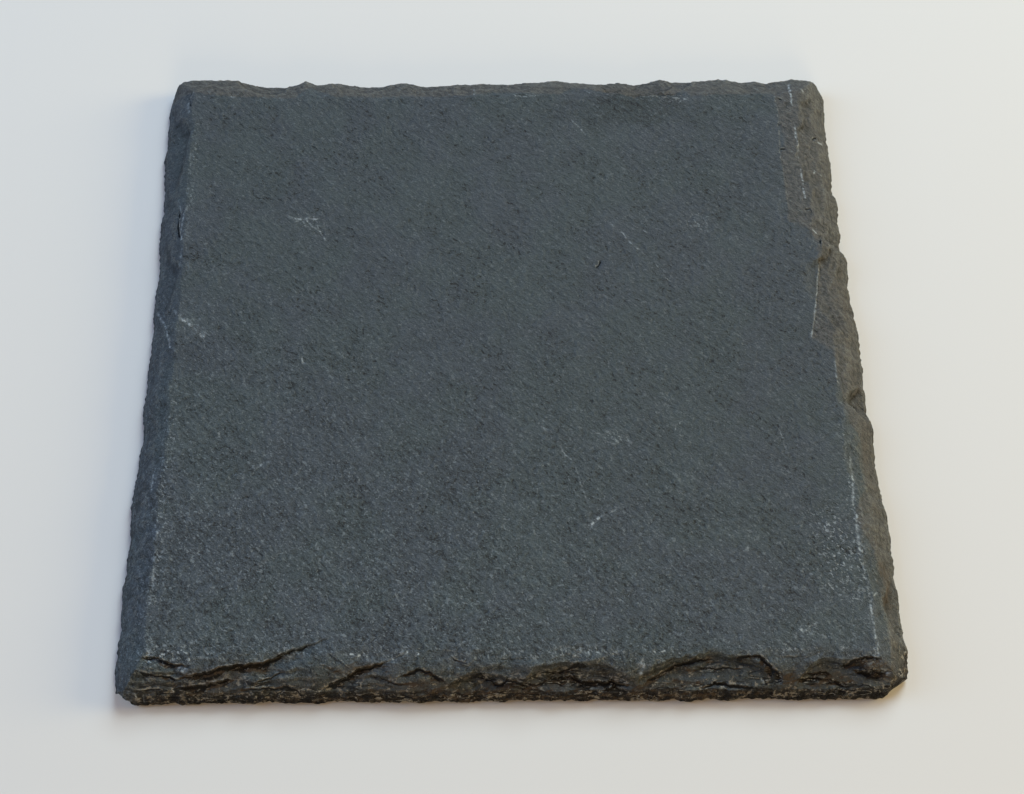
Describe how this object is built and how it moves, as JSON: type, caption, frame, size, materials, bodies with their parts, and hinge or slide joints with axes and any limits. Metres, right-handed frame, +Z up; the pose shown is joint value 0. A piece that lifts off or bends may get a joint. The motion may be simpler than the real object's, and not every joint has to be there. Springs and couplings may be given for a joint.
{
  "type": "slate slab",
  "caption": "Square slab of natural slate with a riven flat top, hand-chipped layered edges and a flat underside, used as a coaster, mat or small base.",
  "frame": {"origin": "middle of the underside, at the centre of the slab's outline", "axes": "+Z up through the slab's thickness to the riven face, +Y towards the back edge, +X to the right"},
  "size_m": [0.101, 0.1012, 0.0051],
  "materials": {
    "slate": "dull riven slate, faintly silky, with paler chipped arrises and brown in the deep breaks"
  },
  "bodies": {
    "root": {"slate_slab": "slate"}
  },
  "joints": []
}
